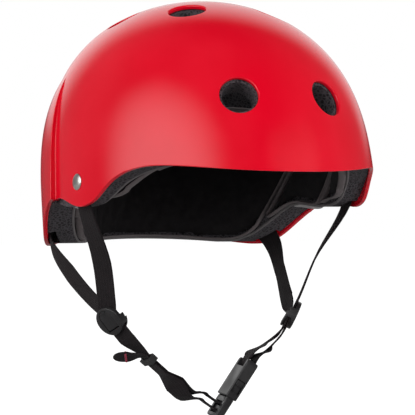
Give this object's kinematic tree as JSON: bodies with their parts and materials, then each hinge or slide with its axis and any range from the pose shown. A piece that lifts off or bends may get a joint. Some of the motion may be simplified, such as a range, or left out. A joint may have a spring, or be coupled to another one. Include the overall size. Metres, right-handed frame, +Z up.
{
  "type": "skateboard helmet",
  "caption": "Round hard-shell skate helmet with vents, foam liner, pads, side strap dividers with locking lids and a side release chin buckle.",
  "frame": {"origin": "Middle plane of the head, at the widest section of the shell and level with the tips of the ear flaps.", "axes": "+Z up, the wearer looks along -Y, the wearer's right is -X."},
  "size_m": [0.2252, 0.2638, 0.2934],
  "materials": {
    "red_shell": "glossy",
    "dark_foam": "matte beaded foam",
    "pad_cloth": "matte knit",
    "hook_tape": "rough",
    "nickel": "satin",
    "keeper_rubber": "matte",
    "pin_steel": "plain",
    "red_thread": "thread",
    "webbing": "woven",
    "black_plastic": "satin moulded"
  },
  "bodies": {
    "helmet": {"outer_shell": "red_shell", "foam_liner": "dark_foam", "brow_pad": "pad_cloth", "side_pad_right": "pad_cloth", "side_pad_left": "pad_cloth", "nape_pad": "pad_cloth", "crown_pad": "pad_cloth", "hook_patches": "hook_tape", "rivets": "nickel", "rivet_washers": "nickel", "front_strap_right": "webbing", "front_strap_left": "webbing", "rear_strap_right": "webbing", "rear_strap_left": "webbing", "divider_right": "black_plastic", "divider_left": "black_plastic", "lid_pin_right": "pin_steel", "lid_pin_left": "pin_steel", "chin_strap_left": "webbing", "chin_strap_right": "webbing", "strap_tail": "webbing", "bar_tack": "red_thread", "buckle_housing": "black_plastic"},
    "lid_right": {"divider_lid_right": "black_plastic"},
    "lid_left": {"divider_lid_left": "black_plastic"},
    "keeper": {"strap_keeper": "keeper_rubber"},
    "tongue": {"buckle_tongue": "black_plastic", "ladder_loop": "webbing"},
    "latch_front": {"latch_arm_front": "black_plastic"},
    "latch_rear": {"latch_arm_rear": "black_plastic"}
  },
  "joints": [
    {"name": "lid_right_turn", "type": "hinge", "parent": "helmet", "child": "lid_right", "pos_m": [-0.07109, 0.0094, -0.0819], "axis": [0.2419, -0.8657, 0.4382], "range_deg": [0, 75]},
    {"name": "lid_left_turn", "type": "hinge", "parent": "helmet", "child": "lid_left", "pos_m": [0.07109, 0.0094, -0.0819], "axis": [0.2419, 0.8657, -0.4382], "range_deg": [0, 75]},
    {"name": "keeper_slide", "type": "slide", "parent": "helmet", "child": "keeper", "axis": [0.7188, -0.1897, -0.6689], "range_m": [0, 0.009]},
    {"name": "buckle_release", "type": "slide", "parent": "helmet", "child": "tongue", "axis": [-0.5426, 0.1353, -0.829], "range_m": [0, 0.02]},
    {"name": "latch_front_press", "type": "hinge", "parent": "tongue", "child": "latch_front", "pos_m": [0.00877, -0.00759, -0.13528], "axis": [-0.8044, 0.2006, 0.5592], "range_deg": [0, 16]},
    {"name": "latch_rear_press", "type": "hinge", "parent": "tongue", "child": "latch_rear", "pos_m": [0.01319, 0.01016, -0.13528], "axis": [0.8044, -0.2006, -0.5592], "range_deg": [0, 16]}
  ],
  "couplings": [
    {"joint": "latch_front_press", "follows": "buckle_release", "rad_per_m": 13.09},
    {"joint": "latch_rear_press", "follows": "buckle_release", "rad_per_m": 13.09}
  ]
}
